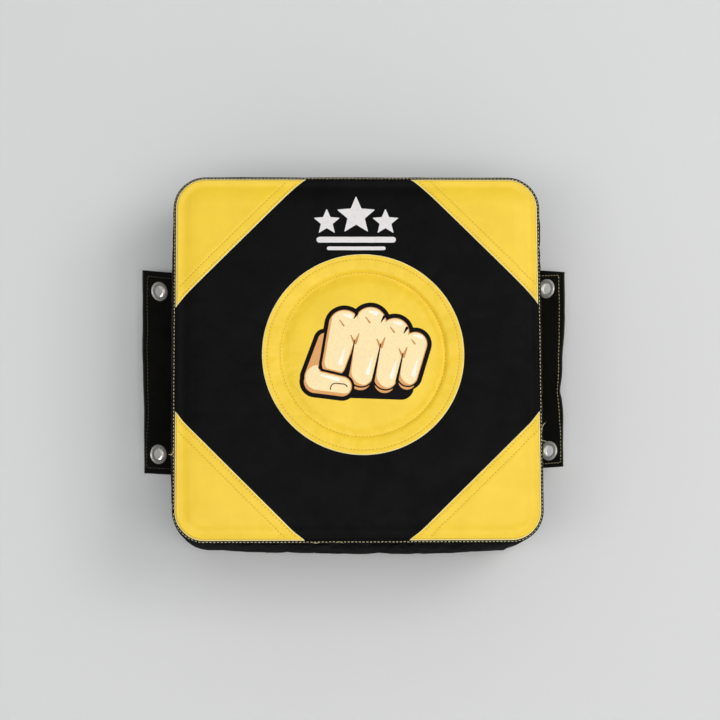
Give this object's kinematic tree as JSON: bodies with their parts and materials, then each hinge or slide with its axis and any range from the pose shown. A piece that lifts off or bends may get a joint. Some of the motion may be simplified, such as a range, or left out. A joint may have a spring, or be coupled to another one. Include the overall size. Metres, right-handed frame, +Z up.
{
  "type": "wall-mounted striking pad",
  "caption": "Square foam striking pad in a sewn leatherette cover, with a round target patch, yellow corner patches and folding side flaps with grommets for fixing to a wall.",
  "frame": {"origin": "centre of the pad's back, on the wall's plane", "axes": "+Y into the wall, +Z up, +X to the right as one faces the pad"},
  "size_m": [0.4831, 0.148, 0.4],
  "materials": {
    "black_leatherette": "matte, fine grain",
    "yellow_leatherette": "matte, fine grain",
    "nickel_plate": "bright nickel plate",
    "zip_tape": "woven tape",
    "zip_chain": "nylon coil",
    "quilt_foam": "open-cell foam sheet",
    "strike_foam": "closed-cell foam",
    "core_foam": "open-cell sponge",
    "rebound_foam": "expanded polyethylene foam"
  },
  "bodies": {
    "pad": {"front_panel": "black_leatherette", "corner_patch_top_left": "yellow_leatherette", "corner_patch_top_right": "yellow_leatherette", "corner_patch_bottom_left": "yellow_leatherette", "corner_patch_bottom_right": "yellow_leatherette", "target_patch": "yellow_leatherette", "front_lip": "black_leatherette", "side_band_upper": "black_leatherette", "side_band_bottom": "black_leatherette", "rear_seam_bead": "black_leatherette", "back_panel_left": "black_leatherette", "back_panel_right": "black_leatherette", "quilt_foam": "quilt_foam", "strike_foam": "strike_foam", "core_foam": "core_foam", "rebound_foam": "rebound_foam", "zip_tape_left": "zip_tape", "zip_tape_right": "zip_tape", "zip_chain_left": "zip_chain", "zip_chain_right": "zip_chain", "zip_stop_top": "nickel_plate", "zip_stop_bottom": "nickel_plate"},
    "left_flap": {"left_flap_front_ply": "black_leatherette", "left_flap_rear_ply": "black_leatherette", "left_top_grommet": "nickel_plate", "left_bottom_grommet": "nickel_plate", "left_top_washer": "nickel_plate", "left_bottom_washer": "nickel_plate"},
    "right_flap": {"right_flap_front_ply": "black_leatherette", "right_flap_rear_ply": "black_leatherette", "right_top_grommet": "nickel_plate", "right_bottom_grommet": "nickel_plate", "right_top_washer": "nickel_plate", "right_bottom_washer": "nickel_plate"},
    "zip_slider": {"zip_slider_outer": "nickel_plate", "zip_slider_inner": "nickel_plate"},
    "zip_pull": {"zip_pull": "nickel_plate"}
  },
  "joints": [
    {"name": "left_flap_fold", "type": "hinge", "parent": "pad", "child": "left_flap", "pos_m": [-0.202, -0.0035, 0], "axis": [0, 0, 1], "range_deg": [-127, 53]},
    {"name": "right_flap_fold", "type": "hinge", "parent": "pad", "child": "right_flap", "pos_m": [0.202, -0.0035, 0.003], "axis": [0, 0, -1], "range_deg": [-131, 49]},
    {"name": "zip_slide", "type": "slide", "parent": "pad", "child": "zip_slider", "axis": [0, 0, -1], "range_m": [0, 0.276]},
    {"name": "zip_pull_swing", "type": "hinge", "parent": "zip_slider", "child": "zip_pull", "pos_m": [0.08, -0.00305, 0.138], "axis": [1, 0, 0], "range_deg": [0, 165]}
  ]
}
